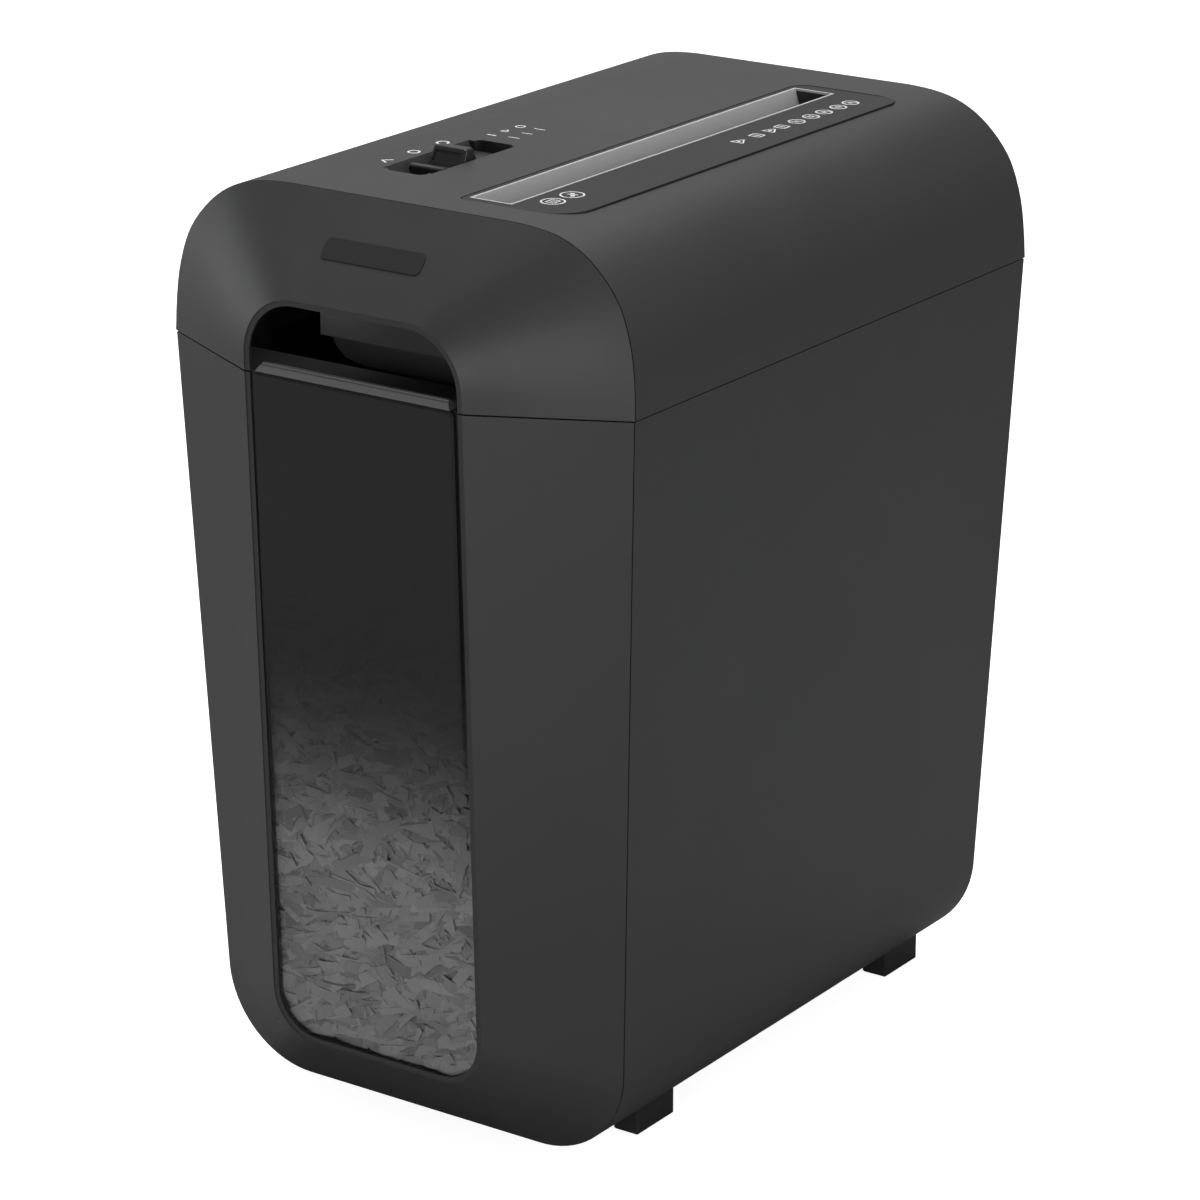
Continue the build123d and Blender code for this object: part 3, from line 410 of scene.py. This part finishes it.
# ------------------------------------------------------------ paper strips
def ribbons(centres, length, width, curl, flat_axis, rnd, lo, hi, spread=0.38, lie=0.55, tilt=0.0):
    """Closed thin curled strips. flat_axis = mean normal of the strips."""
    V, F, S = [], [], []
    seg = 7
    t = 0.16
    for c, ln, wd, cu in zip(centres, length, width, curl):
        nrm = Vector(flat_axis) + Vector(rnd.normal(0, spread, 3))
        nrm.normalize()
        a = rnd.normal(tilt, lie)
        u = Vector((math.cos(a), 0.15 * rnd.normal(), math.sin(a)))
        u = (u - nrm * u.dot(nrm)).normalized()
        w = nrm.cross(u)
        tw = rnd.normal(0, 0.5)
        s = len(V)
        sh = rnd.random() ** 0.45
        ang = rnd.normal(0, cu)
        pos = Vector(c)
        d = u.copy()
        pts = []
        st = ln / seg
        # bend in the plane of u and nrm
        p = -u * (ln / 2)
        th = -ang / 2
        pts.append((p.copy(), th))
        for k in range(seg):
            th2 = th + ang / seg
            mid = (th + th2) / 2
            p = p + (u * math.cos(mid) + nrm * math.sin(mid)) * st
            pts.append((p.copy(), th2))
            th = th2
        for k, (q, th) in enumerate(pts):
            nn = nrm * math.cos(th) - u * math.sin(th)
            f = (k / seg - 0.5) * tw
            ww = w * math.cos(f) + nn * math.sin(f)
            n2 = nn * math.cos(f) - w * math.sin(f)
            for sx, sn in ((-1, -1), (1, -1), (1, 1), (-1, 1)):
                x = pos + q + ww * (sx * wd / 2) + n2 * (sn * t / 2)
                V.append(x)
                S.append(sh)
        for k in range(seg):
            for e in range(4):
                g = (e + 1) % 4
                F.append([s + 4 * k + e, s + 4 * k + g, s + 4 * (k + 1) + g, s + 4 * (k + 1) + e])
        F.append([s + 3, s + 2, s + 1, s])
        e = s + 4 * seg
        F.append([e, e + 1, e + 2, e + 3])
    return V, F, S


paper = paper_mat("shredded_paper", 146, 204)


def win_y(z):
    """Inner face of the window at height z (seam frame)."""
    return -28.3 - 0.032 * z + 2.8


# front face of the heap, pressed against the window
pts, ls, ws, cs = [], [], [], []
HT = -99.0
n_front = 4600
for i in range(n_front):
    z = -272.0 + (HT + 272.0) * rng.random() ** 0.97
    x = rng.uniform(-51.0, 49.0)
    top = HT - 9.0 * (0.5 + 0.5 * math.sin(x * 0.13 + 0.8)) + 3.5 * rng.normal()
    if z > top:
        continue
    depth = 0.9 + 10.0 * rng.random() ** 1.4
    pts.append((x, win_y(z) + depth, z))
    ls.append(rng.uniform(18, 38) * (0.8 if abs(x) > 36 else 1.0)); ws.append(rng.choice([4.4, 5.0, 5.6]))
    cs.append(0.7 if rng.random() < 0.8 else 2.0)
V, F, S = ribbons(pts, ls, ws, cs, (0, -1, 0.1), rng, 150, 236, spread=0.26, lie=0.40, tilt=0.24)
out = []
PER = 32                                     # vertices in one strip
for q in range(0, len(V), PER):
    part = V[q:q + PER]
    near = min(v[1] - win_y(v[2]) for v in part)
    push = max(0.0, 0.4 + 1.6 * rng.random() - near)
    for x, y, z in part:
        y += push
        lim = 50.2 + 1.4 * max(0.0, y - win_y(z) - 0.4)
        out.append(P(max(-lim, min(lim, x)), y, max(-273.4, z)))
strips_front = mesh_obj("paper_strips_front", out, F, paper, "bin", shade=S)
# top of the heap
pts, ls, ws, cs = [], [], [], []
n_top = 2600
for i in range(n_top):
    x = rng.uniform(-76, 76); y = rng.uniform(16, 256)
    z = -119.0 + 7.5 * math.sin(x * 0.045 + 0.5) * math.cos(y * 0.022) + 2.0 * rng.normal()
    pts.append((x, y, z)); ls.append(rng.uniform(12, 30)); ws.append(4.0); cs.append(1.1)
for i in range(n_top // 7):
    x = rng.uniform(-38, 38); y = rng.uniform(-10, 18)
    pts.append((x, y, -113.5 + 1.5 * rng.normal())); ls.append(rng.uniform(10, 22)); ws.append(4.0); cs.append(1.1)


def top_ribbons():
    V, F, S = ribbons(pts, ls, ws, cs, (0.0, -0.15, 1.0), rng, 150, 236)
    out = []
    for v in V:
        x, y, z = v
        out.append(P(max(-85.4, min(85.4, x)), max(-20.0, min(264.5, y)), min(z, -99.0)))
    return out, F, S


out, F, S = top_ribbons()
strips_top = mesh_obj("paper_strips_top", out, F, paper, "bin", shade=S)


def heap_core():
    """Lumpy closed body under the loose strips."""
    import bmesh
    bm = bmesh.new()
    nx, ny = 26, 42
    grid = {}
    def outline_x(y):
        return 84.5 if y > 14 else 42.5
    ys = [-6.0 + (263.0 + 6.0) * j / ny for j in range(ny + 1)]
    for j, y in enumerate(ys):
        hx = outline_x(y)
        for i in range(nx + 1):
            x = -hx + 2 * hx * i / nx
            z = -124.0 + 7.5 * math.sin(x * 0.045 + 0.5) * math.cos(y * 0.022) + 1.4 * math.sin(x * 0.6 + y * 0.35)
            grid[("t", i, j)] = bm.verts.new(P(x, y, z))
            ex = abs(x) - 57.0
            zb = -293.0 + (30.0 - math.sqrt(max(0.0, 30.0 ** 2 - min(ex, 29.5) ** 2)) if ex > 0 else 0.0)
            if y < 14:
                zb = -263.0
            grid[("b", i, j)] = bm.verts.new(P(x, y + (0 if y > 14 else 3.0), zb))
    for j in range(ny):
        for i in range(nx):
            bm.faces.new([grid[("t", i, j)], grid[("t", i + 1, j)], grid[("t", i + 1, j + 1)], grid[("t", i, j + 1)]])
            bm.faces.new([grid[("b", i, j)], grid[("b", i, j + 1)], grid[("b", i + 1, j + 1)], grid[("b", i + 1, j)]])
    for j in range(ny):
        for i in (0, nx):
            q = [grid[("b", i, j)], grid[("b", i, j + 1)], grid[("t", i, j + 1)], grid[("t", i, j)]]
            bm.faces.new(q if i else q[::-1])
    for i in range(nx):
        for j in (0, ny):
            q = [grid[("b", i, j)], grid[("b", i + 1, j)], grid[("t", i + 1, j)], grid[("t", i, j)]]
            bm.faces.new(q[::-1] if j else q)
    bmesh.ops.recalc_face_normals(bm, faces=bm.faces)
    me = bpy.data.meshes.new("paper_core")
    bm.to_mesh(me); bm.free()
    a = me.attributes.new("shade", "FLOAT", "POINT")
    a.data.foreach_set("value", [0.12] * len(me.vertices))
    me.materials.append(paper)
    ob = bpy.data.objects.new("paper_core", me)
    bpy.context.scene.collection.objects.link(ob)
    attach(ob, "bin")
    return ob


core = heap_core()
for o in (strips_front, strips_top, core):
    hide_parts("shredded_paper")

# ---------------------------------------------------------------- stage
FLOOR_GLOW = 0.90
me = bpy.data.meshes.new("floor")
S0 = 12.0
me.from_pydata([(-S0, -S0, 0), (S0, -S0, 0), (S0, S0, 0), (-S0, S0, 0)], [], [(0, 1, 2, 3)])
floor = bpy.data.objects.new("floor", me)
bpy.context.scene.collection.objects.link(floor)
fm, nt, b = new_mat("floor")
lp = nt.nodes.new("ShaderNodeLightPath")
fr = nt.nodes.new("ShaderNodeMapRange"); fr.inputs["To Min"].default_value = 0.40; fr.inputs["To Max"].default_value = 0.90
nt.links.new(lp.outputs["Is Camera Ray"], fr.inputs["Value"])
fc = nt.nodes.new("ShaderNodeCombineColor")
for i in range(3):
    nt.links.new(fr.outputs[0], fc.inputs[i])
nt.links.new(fc.outputs[0], b.inputs["Base Color"])
fe = nt.nodes.new("ShaderNodeMath"); fe.operation = "MULTIPLY"; fe.inputs[1].default_value = FLOOR_GLOW
nt.links.new(lp.outputs["Is Camera Ray"], fe.inputs[0])
nt.links.new(fe.outputs[0], b.inputs["Emission Strength"])
b.inputs["Emission Color"].default_value = (1, 1, 1, 1)
b.inputs["Roughness"].default_value = 0.95
b.inputs["Specular IOR Level"].default_value = 0.0
floor.data.materials.append(fm)

world = bpy.data.worlds.new("studio")
world.use_nodes = True
world.node_tree.nodes["Background"].inputs[0].default_value = (1, 1, 1, 1)
world.node_tree.nodes["Background"].inputs[1].default_value = 0.10
bpy.context.scene.world = world


def area(name, loc, target, size, power, sy=None):
    d = bpy.data.lights.new(name, "AREA")
    d.shape = "RECTANGLE"
    d.size = size
    d.size_y = sy or size
    d.energy = power
    o = bpy.data.objects.new(name, d)
    bpy.context.scene.collection.objects.link(o)
    o.location = loc
    v = Vector(target) - Vector(loc)
    o.rotation_euler = v.to_track_quat("-Z", "Y").to_euler()
    return o


LIGHTS = [
    ("back_left", (-1.2, 1.9, 1.1), (0, 0.05, 0.35), 1.5, 2.2),
    ("overhead", (-0.1, 0.3, 2.2), (0, 0.05, 0.35), 1.2, 36.0),
    ("left_low", (-2.2, -0.7, 0.3), (0, -0.1, 0.2), 1.3, 11.0),
    ("front_low", (0.5, -2.2, 0.25), (0, -0.1, 0.2), 0.8, 14.5),
    ("side_right", (2.1, 0.3, 0.7), (0, 0.1, 0.2), 1.0, 7.9),
    ("right_back", (1.5, 1.9, 0.6), (0, 0.1, 0.2), 1.0, 0.5),
]
for n_, l_, t_, s_, p_ in LIGHTS:
    if p_ > 0:
        area(n_, l_, t_, s_, p_)
# weak fill inside the hand hold, hidden behind the lid's front wall
fill = area("hand_hold_fill", P(-26, -5, 40), P(-44, 18, 12), 0.03, 0.010, 0.008)
fill.visible_camera = False
fill.visible_glossy = False
